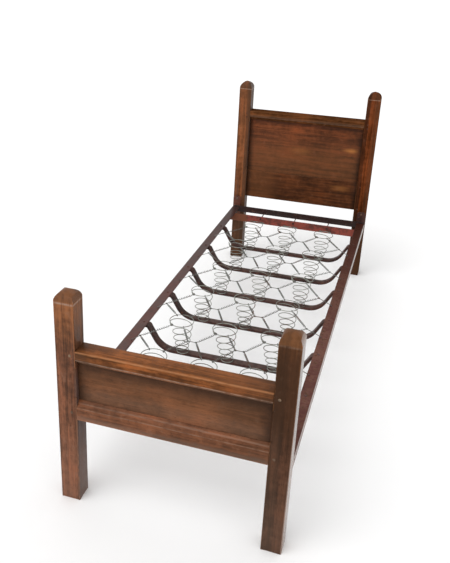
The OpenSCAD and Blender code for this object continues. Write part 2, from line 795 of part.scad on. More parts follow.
module spring_row(i) {
    color(STEEL) for (x = columns)
        translate([x, lath_y(i), 0]) polyhedron(points = coil_points, faces = coil_faces, convexity = 8);
}

// Strap over the seat of a spring where its wire crosses the lath
module spring_clip(x, y) {
    room = wire_r + 1;
    wall = 1.2;
    length = 3;
    difference() {
        translate([x - room - wall, y - length / 2, lath_z])
            cube([2 * (room + wall), length, wire_d + 2 * iron_fit + wall]);
        translate([x - room, y - length, lath_z - 1])
            cube([2 * room, 2 * length, wire_d + 2 * iron_fit + 1]);
    }
}

module spring_clips() {
    color(IRON) for (i = [1:lath_count], x = columns, angle = [0, 180])
        spring_clip(x + seat_cross(angle), lath_y(i));
}

// ---- Link mesh and ties

// Where a link meets the top ring of the spring at [x, y], at an angle about its centre
function ring_point(x, y, angle) = [x, y, 0] + step_point(ring_step(angle))
    + ring_share(angle) * chord(angle);
function eye_edge(x, y, angle) = ring_point(x, y, angle)
    + eye_r * [cos(chord_angle(angle)), sin(chord_angle(angle)), 0];

// Eye round the top ring's wire
module eye(x, y, angle) {
    translate(ring_point(x, y, angle)) rotate([90, 0, chord_angle(angle)])
        rotate_extrude($fn = 32) translate([eye_r, 0]) circle(r = eye_wire_r, $fn = 16);
}

// Tension spring between two points: thin wire at its ends, the close coils as a sleeve between
module tension(from, to) {
    tail = 0.18;
    rod(from, to, arm_r);
    rod(from + tail * (to - from), to - tail * (to - from), tension_r);
}

// Links between two neighbouring springs of one row and the two behind them
module link_set(x, i) {
    mid = [x + spring_pitch / 2, gap_mid(i) + link_lean, link_z];
    for (side = [-1, 1]) {
        joint = mid + [side * bridge_l / 2, 0, 0];
        column = x + (1 + side) / 2 * spring_pitch;
        knuckle(joint, 2.4);
        for (back = [0, 1]) {
            row_y = lath_y(i + back);
            angle = atan2(joint[1] - row_y, joint[0] - column);
            eye(column, row_y, angle);
            tension(joint, eye_edge(column, row_y, angle));
        }
    }
    rod(mid - [bridge_l / 2, 0, 0], mid + [bridge_l / 2, 0, 0], bridge_r);
}

module deck_links() {
    color(STEEL) for (i = [1:lath_count - 1], x = [columns[0], columns[1]]) link_set(x, i);
}

// Tie from two springs beside a rail to a hook in the rail, on the left (-1) or the right (1)
module side_tie(i, side) {
    joint = [side * tie_x, gap_mid(i) + tie_lean, tie_z];
    over_hole = [side * hole_x, gap_mid(i) - hook_lean, rail_top + 4];
    column = side * spring_pitch;
    knuckle(joint, 2.4);
    for (back = [0, 1]) {
        row_y = lath_y(i + back);
        angle = atan2(joint[1] - row_y, joint[0] - column);
        eye(column, row_y, angle);
        tension(joint, eye_edge(column, row_y, angle));
    }
    rod(joint, over_hole, tie_r);
    rod(over_hole + [0, 0, hook_r], over_hole - [0, 0, 4 + rail_t + 5], hook_r);
}

module side_ties(side) {
    color(STEEL) for (i = [1:lath_count - 1]) side_tie(i, side);
}

// Ties from the last row's top rings to the cross bar
module end_tie(x, y, angle) {
    start = eye_edge(x, y, angle);
    hook = [x + ring_r * cos(angle), cross_bar_face - 8, end_tie_z];
    eye(x, y, angle);
    tension(start, hook);
    rod(hook - [0, hook_r, 0], hook + [0, bar_t + 14, 0], hook_r);
}

module head_ties() {
    color(STEEL) for (x = columns, a = end_tie_angle) end_tie(x, lath_y(lath_count), a);
}

// The foot's ties start from the first row, on the other side of its rings
module foot_tie(x, y, angle) {
    bar_face = 2 * rail_mid - cross_bar_face;
    start = eye_edge(x, y, -angle);
    hook = [x + ring_r * cos(angle), bar_face + 8, end_tie_z];
    eye(x, y, -angle);
    tension(start, hook);
    rod(hook + [0, hook_r, 0], hook - [0, bar_t + 14, 0], hook_r);
}

module foot_ties() {
    color(STEEL) for (x = columns, a = end_tie_angle) foot_tie(x, lath_y(1), a);
}

// ---- Assembly

left() foot_post();  // foot_post_left
foot_post();  // foot_post_right
left() head_post();  // head_post_left
head_post();  // head_post_right
foot_top_rail();
foot_panel();
foot_bottom_rail();
foot_pegs();
head_top_rail();
head_panel();
head_bottom_rail();
head_pegs();
left() side_rail();  // side_rail_left
side_rail();  // side_rail_right
bracket(foot = true, on_left = true);  // bracket_foot_left
bracket(foot = true);  // bracket_foot_right
bracket(on_left = true);  // bracket_head_left
bracket();  // bracket_head_right
bracket_screws();
bracket_bolts();
at_foot() end_bar();  // foot_end_bar
end_bar();  // head_end_bar
end_bar_bolts();
at_foot() cross_bar();  // foot_cross_bar
cross_bar();  // head_cross_bar
cross_bar_cleats();
cross_bar_rivets();
at_foot() tie_rods();  // foot_tie_rods
tie_rods();  // head_tie_rods
cross_lath(1);  // cross_lath_1
cross_lath(2);  // cross_lath_2
cross_lath(3);  // cross_lath_3
cross_lath(4);  // cross_lath_4
cross_lath(5);  // cross_lath_5
cross_lath(6);  // cross_lath_6
lath_rivets();
spring_row(1);  // spring_row_1
spring_row(2);  // spring_row_2
spring_row(3);  // spring_row_3
spring_row(4);  // spring_row_4
spring_row(5);  // spring_row_5
spring_row(6);  // spring_row_6
spring_clips();
deck_links();
side_ties(-1);  // side_ties_left
side_ties(1);  // side_ties_right
foot_ties();
head_ties();
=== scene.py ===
# Single bed with an oak head and foot, an iron frame and a deck of coil springs.
# Metres, the bed's own frame: +X across, +Y from foot to head, +Z up from the floor.
import json
import bmesh
import bpy
from math import atan2, cos, pi, radians, sin
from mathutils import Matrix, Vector


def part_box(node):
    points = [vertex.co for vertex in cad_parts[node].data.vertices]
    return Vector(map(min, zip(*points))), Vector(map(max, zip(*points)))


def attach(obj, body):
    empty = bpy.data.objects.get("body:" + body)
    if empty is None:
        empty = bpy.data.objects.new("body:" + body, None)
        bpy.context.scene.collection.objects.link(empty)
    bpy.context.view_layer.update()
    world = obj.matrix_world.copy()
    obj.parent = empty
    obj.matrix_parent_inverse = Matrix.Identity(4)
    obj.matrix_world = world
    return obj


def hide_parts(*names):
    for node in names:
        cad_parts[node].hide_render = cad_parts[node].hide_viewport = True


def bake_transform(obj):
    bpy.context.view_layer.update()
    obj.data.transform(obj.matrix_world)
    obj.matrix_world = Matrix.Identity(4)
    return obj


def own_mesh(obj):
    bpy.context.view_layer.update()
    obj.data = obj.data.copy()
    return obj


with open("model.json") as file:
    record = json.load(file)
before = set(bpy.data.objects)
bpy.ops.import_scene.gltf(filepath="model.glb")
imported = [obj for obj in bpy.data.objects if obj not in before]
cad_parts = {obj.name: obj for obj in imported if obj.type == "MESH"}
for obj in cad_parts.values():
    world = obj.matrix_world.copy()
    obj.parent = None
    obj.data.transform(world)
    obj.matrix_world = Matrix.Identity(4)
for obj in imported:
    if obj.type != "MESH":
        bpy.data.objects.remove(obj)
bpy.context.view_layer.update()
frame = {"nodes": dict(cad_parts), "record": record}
record = frame["record"]
xAxis, yAxis, zAxis = 0, 1, 2
upward = Vector((0, 0, 1))


# Shader sums, written as Python expressions
class Value:
    def __init__(self, nodes, socket):
        self.nodes, self.socket = nodes, socket

    def math(self, operation, *inputs):
        return self.nodes.add("ShaderNodeMath", {"operation": operation}, dict(enumerate(inputs)))

    def __add__(self, other):
        return self.math("ADD", self, other)

    def __radd__(self, other):
        return self.math("ADD", other, self)

    def __sub__(self, other):
        return self.math("SUBTRACT", self, other)

    def __rsub__(self, other):
        return self.math("SUBTRACT", other, self)

    def __mul__(self, other):
        return self.math("MULTIPLY", self, other)

    def __rmul__(self, other):
        return self.math("MULTIPLY", other, self)

    def __pow__(self, other):
        return self.math("POWER", self, other)

    def __rpow__(self, other):
        return self.math("POWER", other, self)

    def least(self, other):
        return self.math("MINIMUM", self, other)

    def most(self, other):
        return self.math("MAXIMUM", self, other)

    def size(self):
        return self.math("ABSOLUTE", self)

    def wave(self):
        return self.math("SINE", self)

    def between(self, low, high):              # 0 below low, 1 above high, smooth in the middle
        return self.nodes.add("ShaderNodeMapRange", {"interpolation_type": "SMOOTHSTEP"},
                              {0: self, 1: low, 2: high, 3: 0.0, 4: 1.0})

    def band(self, start, end, soft):          # 1 from start to end, 0 outside
        return self.between(start - soft, start + soft) * (1 - self.between(end - soft, end + soft))


class Nodes:                                   # the node tree of a material or of the sky
    def __init__(self, tree):
        self.tree = tree
        self.tree.nodes.clear()

    def add(self, kind, settings=None, sockets=None, out=0):
        node = self.tree.nodes.new(kind)
        for key, value in (settings or {}).items():
            setattr(node, key, value)
        for key, value in (sockets or {}).items():
            if isinstance(value, Value):
                self.tree.links.new(value.socket, node.inputs[key])
            else:
                node.inputs[key].default_value = value
        return Value(self, node.outputs[out]) if node.outputs else None


class Finish(Nodes):                           # one material, built node by node
    def __init__(self, name):
        self.material = bpy.data.materials.new(name)
        self.material.use_nodes = True
        super().__init__(self.material.node_tree)
        self.place = self.add("ShaderNodeTexCoord", out=3)
        self.xyz = self.split(self.place)

    def split(self, vector):                   # its three parts
        node = self.add("ShaderNodeSeparateXYZ", sockets={0: vector}).socket.node
        return [Value(self, part) for part in node.outputs]

    def mix(self, factor, first, second):
        return self.add("ShaderNodeMix", {"data_type": "RGBA"}, {0: factor, 6: first, 7: second}, out=2)

    def stretched(self, scale, offset):
        return self.add("ShaderNodeMapping", sockets={0: self.place, 1: offset, 3: scale})

    def moved(self, *offset):
        return self.stretched((1, 1, 1), offset)

    def noise(self, where, scale=1.0, detail=3.0, rough=0.55, distortion=0.0):
        return self.add("ShaderNodeTexNoise",
                        sockets={"Vector": where, "Scale": scale, "Detail": detail,
                                 "Roughness": rough, "Distortion": distortion})

    def facing(self, axis):                    # how far the surface faces along an axis
        return self.split(self.add("ShaderNodeNewGeometry", out=1))[axis]

    def insideBox(self, low, high, axes):      # how far a point lies inside a box's faces
        return [0.5 * (high[i] - low[i]) - (self.xyz[i] - 0.5 * (high[i] + low[i])).size() for i in axes]

    def bump(self, height, distance, strength):
        return self.add("ShaderNodeBump", sockets={"Strength": strength, "Distance": distance,
                                                   "Height": height})

    def done(self, sockets):
        shader = self.add("ShaderNodeBsdfPrincipled", sockets=sockets)
        self.add("ShaderNodeOutputMaterial", sockets={0: shader})
        return self.material


def colour(red, green, blue):
    return (red, green, blue, 1.0)


def scaled(tint, red, green, blue):
    return colour(tint[0] * red, tint[1] * green, tint[2] * blue)


oak = {
    "worn": colour(0.44, 0.19, 0.080),
    # pale line colour: partly wear, partly painted highlight
    "line": colour(0.34, 0.23, 0.17),
    # dark brown for darker zones, among them painted shadow beside the head panel
    "darkTone": colour(0.060, 0.031, 0.017),
    "umber": colour(0.072, 0.036, 0.019),
    # painted shade for the right faces of the left posts
    "innerShade": colour(0.090, 0.064, 0.058),
    "olive": colour(0.105, 0.052, 0.022),
    # dark colour for dirt, also used for painted shade
    "grime": colour(0.016, 0.009, 0.006),
    "haze": colour(0.165, 0.110, 0.080),
    # painted reflection for a right face seen at a glancing angle
    "reflectionPale": colour(0.58, 0.40, 0.31),
    "amber": colour(0.30, 0.110, 0.038),
    # painted highlight for shiny spots
    "spotHighlight": colour(0.46, 0.170, 0.045),
    "peat": colour(0.034, 0.013, 0.004),
}
oakGrain = {
    "patch": 6.0, "mottle": 46.0, "nick": 210.0,         # how fine each noise is
    "board": (1.3, 20.0), "streak": (4.5, 95.0),         # how fine along and across the grain
    "fibre": (22.0, 480.0), "pore": (55.0, 1100.0),
    "rings": 520.0, "ringBend": 0.055,                   # growth rings, cut at a slant
    "shine": 0.40, "poreDepth": 0.00030, "relief": 0.7,
}
oakWear = {
    "paleTop": 0.34,                          # the feet are paler below this height
    "edgeStart": 0.0006, "edgeWander": 0.006, "lineWander": 0.003,
    "innerSoft": 0.04, "rimWander": 0.02, "rimDepth": 0.6, "coatRoughness": 0.22,
}


# Oak of a mean tint, whose grain runs along one axis of a piece that fills a box
def oakFinish(name, grain, low, high, tint, seed=0, figure=1.0, patches=1.0, mottled=0.8, topLightAndWear=0.0,
              topShade=0.0, footLift=0.0, haze=0.25, edge=0.0035, rubbed=0.5, sheen=0.22, sideReflection=0.0,
              sideWax=0.0, crown=None, border=None, borderWidth=0.035, inner=(), zones=(), highlightSpots=(),
              lines=()):
    f = Finish(name)
    slant = [i for i in (xAxis, yAxis, zAxis) if i != grain]

    def drawnOut(key):                         # coordinates drawn out along the grain
        along, across = oakGrain[key]
        scale = [across] * 3
        scale[grain] = along
        return f.stretched(scale, (seed * 3.17, seed * 1.93, seed * 2.41))

    patch = f.noise(f.moved(seed * 1.3, seed * 0.7, seed), oakGrain["patch"], 3.0)
    mottle = f.noise(f.moved(seed, seed * 2.1, seed * 0.4), oakGrain["mottle"], 4.0)
    board = f.noise(drawnOut("board"), 1.0, 3.0, 0.6, 0.8)
    streak = f.noise(drawnOut("streak"), 1.0, 4.0, 0.65, 0.4)
    fibre = f.noise(drawnOut("fibre"), 1.0, 3.0, 0.7)
    pore = f.noise(drawnOut("pore"), 1.0, 1.0).between(0.60, 0.70)
    bend = (board - 0.5) * oakGrain["ringBend"]
    slope = f.xyz[slant[0]] * 0.8 + f.xyz[slant[1]] * 0.6 + bend
    rings = (slope * oakGrain["rings"]).wave() * 0.5 + 0.5

    # The wood's own shades, from dark boards and warm patches to fibres, pores and nicks
    depth = (0.5 + (board - 0.5) * 1.0 * figure + (streak - 0.5) * 1.5 * figure
             + (patch - 0.5) * 1.1 * patches + (mottle - 0.5) * mottled + (rings - 0.5) * 0.16 * figure)
    shade = f.mix(depth.between(-0.05, 1.05), scaled(tint, 0.36, 0.37, 0.33),
                  scaled(tint, 1.75, 1.75, 1.70))
    warm = (patch - 0.5) * 1.6 + (streak - 0.5) * 1.2 + 0.5
    shade = f.mix(warm.between(0.55, 1.0) * 0.55, shade, scaled(tint, 2.0, 1.55, 1.15))
    shade = f.mix((1 - warm).between(0.60, 1.0) * 0.40, shade, scaled(tint, 0.66, 0.80, 0.80))
    shade = f.mix(fibre.between(0.52, 0.76) * 0.30, shade, scaled(tint, 2.3, 2.1, 1.9))
    shade = f.mix(pore * 0.55, shade, scaled(tint, 0.15, 0.13, 0.12))
    nick = f.noise(f.moved(seed * 0.9, seed, seed), oakGrain["nick"], 2.0).between(0.66, 0.72)
    shade = f.mix(nick * 0.6, shade, scaled(tint, 0.25, 0.22, 0.20))

    # Fading, wear, dirt, painted light and painted shade by face and by place
    top = f.facing(zAxis).between(0.5, 0.95)
    # top faces lighter: partly wear, partly painted light from above
    if topLightAndWear:
        shade = f.mix(top * topLightAndWear, shade, scaled(tint, 2.2, 2.3, 2.0))
    # painted shade: the top faces darkened
    if topShade:
        shade = f.mix(top * topShade, shade, oak["grime"])
    rightFace = f.facing(xAxis).between(0.35, 0.80)
    if sideReflection:                               # painted reflection: the right face is paled along its streaks for the white it mirrors at a glancing view
        shade = f.mix(rightFace * sideReflection * (streak * 1.3 + patch * 0.5), shade, oak["reflectionPale"])
    if crown:                                  # the stain is worn through at the head of the post
        start, full, strength = crown
        worn = (f.xyz[zAxis] + (streak - 0.5) * 0.10 + (mottle - 0.5) * 0.05).between(start, full)
        flecked = (streak * 0.8 + mottle * 0.6 + fibre * 0.3).between(0.62, 0.98)
        shade = f.mix(worn * strength * (0.35 + flecked * 0.9), shade, oak["amber"])
    for start, end, key, strength in inner:    # painted shade on the right face of a left post, which turns away from the light
        height = f.xyz[zAxis] + (mottle - 0.5) * oakWear["innerSoft"]
        dull = height.band(start, end, oakWear["innerSoft"])
        shade = f.mix(rightFace * dull * (0.6 + patch * 0.6) * strength, shade, oak[key])
    for axis, start, end, soft, key, strength in zones:
        place = f.xyz[axis] + (mottle - 0.5) * soft * 2
        shade = f.mix(place.band(start, end, soft) * strength, shade, oak[key])
    for x, z, size, key, strength in highlightSpots:    # painted highlights, long along the grain, broken by the streaks
        away = (((f.xyz[xAxis] - x) * 0.6) ** 2 + ((f.xyz[zAxis] - z) * 1.7) ** 2) ** 0.5
        away = away + (streak - 0.5) * size * 1.4
        shade = f.mix((1 - away.between(0.0, size)) * strength, shade, oak[key])
    if footLift:                               # paler towards the floor
        nearFloor = 1 - f.xyz[zAxis].between(0.0, oakWear["paleTop"])
        shade = f.mix(nearFloor * (0.4 + mottle) * footLift, shade, oak["haze"])
    shade = f.mix(mottle.between(0.56, 0.74) * haze, shade, oak["haze"])

    # Arrises rub pale: the middle one of the three distances to the box's faces is the nearest edge
    gaps = f.insideBox(low, high, (xAxis, yAxis, zAxis))
    near = gaps[0].least(gaps[1]).most(gaps[0].most(gaps[1]).least(gaps[2]))
    near = near + (mottle - 0.5) * oakWear["edgeWander"]
    rub = (1 - near.between(oakWear["edgeStart"], edge)) * rubbed
    rub = rub * (0.45 + patch * 0.9)
    shade = f.mix(rub, shade, oak["worn"])
    broken = (streak * 0.5 + mottle * 0.5).between(0.40, 0.56) * 0.75 + 0.25
    for axis, at, width, strength in lines:    # pale lines along arrises that the box doesn't have: partly wear, partly painted highlight
        away = (f.xyz[axis] - at).size() + (mottle - 0.5) * oakWear["lineWander"]
        line = 1 - away.between(oakWear["edgeStart"], width)
        shade = f.mix(line * broken * strength, shade, oak["line"])
    if border:                                 # darker where a panel meets its frame: partly dirt, partly painted shade in the recess
        sides = f.insideBox(*border, (xAxis, zAxis))
        rim = sides[0].least(sides[1]) + (mottle - 0.5) * oakWear["rimWander"]
        shade = f.mix((1 - rim.between(0.0, borderWidth)) * oakWear["rimDepth"], shade, oak["grime"])

    height = fibre * 0.35 - pore + streak * 0.3 - nick * 0.8
    gloss = oakGrain["shine"] + (mottle - 0.5) * 0.35 + pore * 0.2 - rub * 0.08
    sockets = {"Base Color": shade, "Roughness": gloss, "Specular IOR Level": sheen,
               "Normal": f.bump(height, oakGrain["poreDepth"], oakGrain["relief"])}
    if sideWax:                                # wax that catches the light along the right face
        sockets.update({"Coat Weight": rightFace * sideWax, "Coat Roughness": oakWear["coatRoughness"]})
    return f.done(sockets)


paint = {
    "purple": colour(0.088, 0.044, 0.038),
    "brown": colour(0.062, 0.024, 0.018),
    "redBrown": colour(0.095, 0.030, 0.023),
    "dark": colour(0.028, 0.012, 0.010),
    "oxide": colour(0.25, 0.055, 0.038),
    "oxideDark": colour(0.095, 0.028, 0.021),
    "rust": colour(0.12, 0.042, 0.018),
    "bare": colour(0.024, 0.015, 0.013),
    "dust": colour(0.20, 0.15, 0.13),
    # painted reflection on the right rail's outer face
    "reflectionChalk": colour(0.44, 0.35, 0.30),
    "umber": colour(0.150, 0.052, 0.022),
    "warm": colour(0.120, 0.040, 0.024),
    "russet": colour(0.150, 0.062, 0.044),
    "ember": colour(0.040, 0.010, 0.005),
}
paintWear = {
    "patch": 9.0, "mottle": 70.0, "speck": 240.0, "grime": 3.0, "grimeStretch": (5, 5, 16),
    "chipDepth": 0.0004, "relief": 0.6,
    "farStart": -0.5, "farEnd": 0.95,          # from here to there the paint darkens
    "endWander": 0.012, "endSoft": 0.003, "endStrength": 0.85,
    "coat": 0.65, "coatRoughness": 0.22,
}


# Old paint on iron, mixed of two shades, chipped to rust and dusty on top
def paintFinish(name, base, second, seed=0, chips=0.62, shine=0.42, dusty=0.3, sheen=0.20, outerReflection=0.0,
                far=0.0, farKey="bare", brownEnd=None):
    f = Finish(name)
    patch = f.noise(f.moved(seed, seed * 0.6, 0), paintWear["patch"], 3.0)
    mottle = f.noise(f.moved(seed * 2.2, 0, seed), paintWear["mottle"], 5.0, 0.62)
    speck = f.noise(f.moved(0, seed, seed * 3.0), paintWear["speck"], 4.0, 0.7)
    grime = f.noise(f.stretched(paintWear["grimeStretch"], (seed, 0, 0)), paintWear["grime"], 4.0)
    shade = f.mix((patch + (mottle - 0.5) * 0.9).between(0.36, 0.64), paint[base], paint[second])
    shade = f.mix((mottle * 0.5 + speck * 0.5).between(0.54, 0.66) * 0.35, shade, paint["dust"])
    shade = f.mix(grime.between(0.52, 0.75) * 0.5, shade, paint["bare"])
    chip = (mottle * 0.75 + speck * 0.35 - 0.05).between(chips - 0.03, chips + 0.02)
    shade = f.mix(chip, shade, f.mix(speck.between(0.4, 0.6), paint["bare"], paint["rust"]))
    top = f.facing(zAxis).between(0.6, 1.0)
    shade = f.mix((top * mottle).between(0.2, 0.8) * dusty, shade, paint["dust"])
    if far:                                    # darker towards the head
        distance = f.xyz[yAxis].between(paintWear["farStart"], paintWear["farEnd"])
        shade = f.mix(distance * far, shade, paint[farKey])
    if brownEnd:                                # the bar's left end, in front of the post, is brown instead of red
        worn = f.xyz[xAxis] + (mottle - 0.5) * paintWear["endWander"]
        kept = worn.between(brownEnd - paintWear["endSoft"], brownEnd + paintWear["endSoft"])
        shade = f.mix((1 - kept) * paintWear["endStrength"], shade, paint["umber"])
    sockets = {"Base Color": shade, "Roughness": shine + (speck - 0.5) * 0.4 + chip * 0.25,
               "Specular IOR Level": sheen,
               "Normal": f.bump(mottle * 0.5 + speck * 0.3 - chip * 0.6, paintWear["chipDepth"],
                                paintWear["relief"])}
    if outerReflection:                                  # painted reflection: the right rail's outer face is paled for the white it mirrors, and its coat shines
        rightFace = f.facing(xAxis).between(0.6, 1.0)
        sockets["Base Color"] = f.mix(rightFace * (0.6 + patch * 0.6) * outerReflection, shade, paint["reflectionChalk"])
        sockets.update({"Coat Weight": rightFace * paintWear["coat"],
                        "Coat Roughness": paintWear["coatRoughness"]})
    return f.done(sockets)


steel = {
    "clean": colour(0.34, 0.35, 0.31),
    "dull": colour(0.13, 0.135, 0.115),
    "worn": colour(0.200, 0.205, 0.190),
    "dark": colour(0.075, 0.077, 0.068),
    "rust": colour(0.12, 0.055, 0.028),
    "patch": 14.0, "speck": 320.0, "shine": 0.42, "metal": 0.75, "pitDepth": 0.0001, "relief": 0.5,
}


def steelFinish(name, seed, rust, clean="clean", dull="dull"):
    f = Finish(name)
    patch = f.noise(f.moved(seed, seed, 0), steel["patch"], 3.0)
    speck = f.noise(f.moved(0, seed, seed), steel["speck"], 4.0, 0.7)
    shade = f.mix((patch + (speck - 0.5) * 0.6).between(0.3, 0.7), steel[clean], steel[dull])
    stain = (patch * 0.5 + speck * 0.5).between(rust - 0.05, rust + 0.03)
    shade = f.mix(stain * 0.85, shade, steel["rust"])
    return f.done({"Base Color": shade, "Metallic": steel["metal"] - stain * 0.6,
                   "Roughness": steel["shine"] + (speck - 0.5) * 0.3 + stain * 0.3,
                   "Normal": f.bump(speck, steel["pitDepth"], steel["relief"])})


def setMaterial(piece, material):
    piece.data.materials.clear()
    piece.data.materials.append(material)
    for face in piece.data.polygons:
        face.material_index = 0


def bodyOf(node):
    bodies = record["behaviour"]["bodies"]
    return next(name for name, members in bodies.items() if node in members)


def slotOf(node):
    return next(p["material_slot"] for p in record["subparts"] if p["node"] == node)


# A finished mesh in place of a CAD node, which rides on that node's body unless body is "none"
def addPiece(name, mesh, material, node, body=None):
    piece = bpy.data.objects.new(name, mesh)
    bpy.context.scene.collection.objects.link(piece)
    setMaterial(piece, material)
    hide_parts(node)
    slotOf(node)
    if body != "none":
        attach(piece, body or bodyOf(node))
    return piece


easing = {
    "weld": 2e-6, "flat": 0.5,                 # faces that turn less than this are made one
    "sharpest": 25, "segments": 2, "smooth": 35,
}


# The CAD node's own shape with its long arrises rounded
def easedPiece(node, material, width, shortest=0.006):
    bm = bmesh.new()
    bm.from_mesh(frame["nodes"][node].data)
    bmesh.ops.remove_doubles(bm, verts=bm.verts, dist=easing["weld"])
    bmesh.ops.dissolve_limit(bm, angle_limit=radians(easing["flat"]), verts=bm.verts, edges=bm.edges)
    arrises = [e for e in bm.edges if len(e.link_faces) == 2 and e.calc_length() > shortest
               and e.calc_face_angle() > radians(easing["sharpest"])]
    bmesh.ops.bevel(bm, geom=arrises, offset=width, offset_type="OFFSET", affect="EDGES",
                    segments=easing["segments"], profile=0.5, material=-1, clamp_overlap=False)
    low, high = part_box(node)
    for vert in bm.verts:                      # no rounded corner stands proud of the piece
        vert.co = [min(max(vert.co[i], low[i]), high[i]) for i in range(3)]
    bmesh.ops.triangulate(bm, faces=[face for face in bm.faces if len(face.verts) > 4])
    mesh = bpy.data.meshes.new(node + "_eased")
    bm.to_mesh(mesh)
    bm.free()
    mesh.shade_smooth()
    mesh.set_sharp_from_angle(angle=radians(easing["smooth"]))
    return addPiece(node + "_piece", mesh, material, node)


# The camera stands where the picture was taken
view = {
    "place": (0.5371, -2.6039, 1.6085),
    "turn": (66.911, -1.576, 18.529),
    "lens": 46.54,
    "shift": (0.0726, -0.0624),
    "farthest": 60,
}
lens = bpy.data.cameras.new("camera")
lens.lens = view["lens"]
lens.shift_x, lens.shift_y = view["shift"]
lens.clip_end = view["farthest"]
camera = bpy.data.objects.new("camera", lens)
camera.location = view["place"]
camera.rotation_euler = [radians(a) for a in view["turn"]]
bpy.context.scene.collection.objects.link(camera)
bpy.context.scene.camera = camera
print("camera ready")


# The oak head and foot. Their marks, each with its strength last:
# a zone is an axis, its start and end along it, how soft these are, and a colour;
# a line is an axis, its place and its width, for a pale line, partly wear, partly painted highlight;
# an inner band is two heights and a colour, for painted shade on a left post's right face;
# a spot is its place across and up, its size and a colour, for a painted highlight; a crown is the
# heights it grows between.
foot = {"front": -1.026, "back": -0.965, "inner": 0.284, "railTop": 0.530, "fascia": 0.500,
        "low": 0.300, "lowTop": 0.362, "lowFace": 0.342, "gapTop": 0.488, "brow": 0.674}
head = {"front": 0.965, "back": 1.026, "inner": 0.284, "railTop": 0.808, "fascia": 0.778,
        "low": 0.350, "lowTop": 0.495, "gapTop": 0.766, "brow": 0.915}
beyond = 2.0                                   # past the piece, for a zone that runs out of it
railReach = 0.40                               # the rails run on into the posts, so their ends don't rub


def oakPiece(node, grain, look):
    low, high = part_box(node)
    look = dict(look)
    width = look.pop("rounding")
    low, high = look.pop("visible", (low, high))       # the part of the box without its tenons
    return easedPiece(node, oakFinish(node + "_oak", grain, low, high, **look), width)


footPostLeft = {
    "seed": 1, "rounding": 0.0036, "tint": (0.160, 0.060, 0.030),
    "patches": 1.2, "haze": 0.25, "rubbed": 0.45, "sheen": 0.14, "footLift": 0.22,
    "crown": (0.50, 0.67, 0.66),
    # painted shade down the right face, away from the light
    "inner": [(-beyond, 0.46, "innerShade", 0.80),
              (0.46, 0.61, "umber", 0.62),
              (0.61, beyond, "umber", 0.35)],
    "lines": [(zAxis, foot["brow"] + 0.001, 0.0050, 0.75)],
    "zones": [(zAxis, foot["brow"] + 0.006, beyond, 0.003, "umber", 0.45)],
}
oakPiece("foot_post_left", zAxis, footPostLeft)

footPostRight = {
    "seed": 7, "rounding": 0.0036, "tint": (0.063, 0.027, 0.015),
    "patches": 1.6, "haze": 0.08, "rubbed": 0.22, "sheen": 0.08, "footLift": 0.20,
    # the right face takes a painted reflection besides its wax
    "sideReflection": 0.36, "sideWax": 0.80, "crown": (0.62, 0.72, 0.75),
    "lines": [(zAxis, foot["brow"], 0.0050, 0.20)],
    "zones": [(xAxis, -beyond, foot["inner"] + 0.030, 0.004, "darkTone", 0.40),
              (zAxis, 0.41, beyond, 0.060, "peat", 0.72),
              (xAxis, foot["inner"] + 0.034, beyond, 0.008, "amber", 0.05),
              (zAxis, foot["brow"] + 0.002, beyond, 0.004, "worn", 0.16)],
}
oakPiece("foot_post_right", zAxis, footPostRight)

darkLeg = (zAxis, -beyond, 0.310, 0.040, "darkTone", 0.85)   # below the head's lower rail
darkDome = (zAxis, head["brow"] + 0.002, beyond, 0.003, "darkTone", 0.55)
# the pale line at the dome's base is partly wear, partly painted highlight
domeLine = (zAxis, head["brow"], 0.0025, 0.9)
headPostLeft = {
    "seed": 4, "rounding": 0.0024, "tint": (0.212, 0.073, 0.028),
    "figure": 0.7, "haze": 0.15, "rubbed": 0.20, "sheen": 0.08,
    # painted shade down the right face, away from the light
    "inner": [(-beyond, beyond, "innerShade", 0.80)],
    "lines": [domeLine],
    "zones": [darkLeg, darkDome,
              # painted shadow down the front face beside the panel
              (xAxis, -0.303, beyond, 0.004, "darkTone", 0.72),
              (xAxis, -beyond, -0.335, 0.004, "umber", 0.45),
              (zAxis, 0.75, 0.917, 0.050, "umber", 0.32)],
}
oakPiece("head_post_left", zAxis, headPostLeft)

headPostRight = {
    "seed": 9, "rounding": 0.0024, "tint": (0.142, 0.037, 0.012),
    "haze": 0.10, "rubbed": 0.20, "sheen": 0.0,
    "lines": [domeLine],
    "zones": [darkLeg, darkDome,
              # painted shadow down the front face beside the panel
              (xAxis, -beyond, head["inner"] + 0.019, 0.003, "grime", 0.6),
              (xAxis, 0.325, beyond, 0.004, "darkTone", 0.45),
              (zAxis, 0.83, 0.917, 0.030, "darkTone", 0.25)],
}
oakPiece("head_post_right", zAxis, headPostRight)

footTopRail = {
    "seed": 2, "rounding": 0.0018, "tint": (0.200, 0.064, 0.018),
    "figure": 1.2, "patches": 1.5, "haze": 0.10, "edge": 0.006, "rubbed": 0.85, "sheen": 0.08,
    "topLightAndWear": 0.10,
    "visible": ((-railReach, foot["front"], foot["gapTop"]), (railReach, foot["back"], foot["railTop"])),
    "lines": [(zAxis, foot["fascia"] + 0.002, 0.0036, 0.75)],
    # the first zone greys the cove as it looks in its shadow: painted shade
    "zones": [(zAxis, foot["gapTop"] - 0.004, foot["fascia"] - 0.001, 0.001, "haze", 0.4),
              (xAxis, -beyond, -foot["inner"] + 0.035, 0.030, "darkTone", 0.55),
              (xAxis, foot["inner"] - 0.140, beyond, 0.080, "darkTone", 0.42)],
}
oakPiece("foot_top_rail", xAxis, footTopRail)

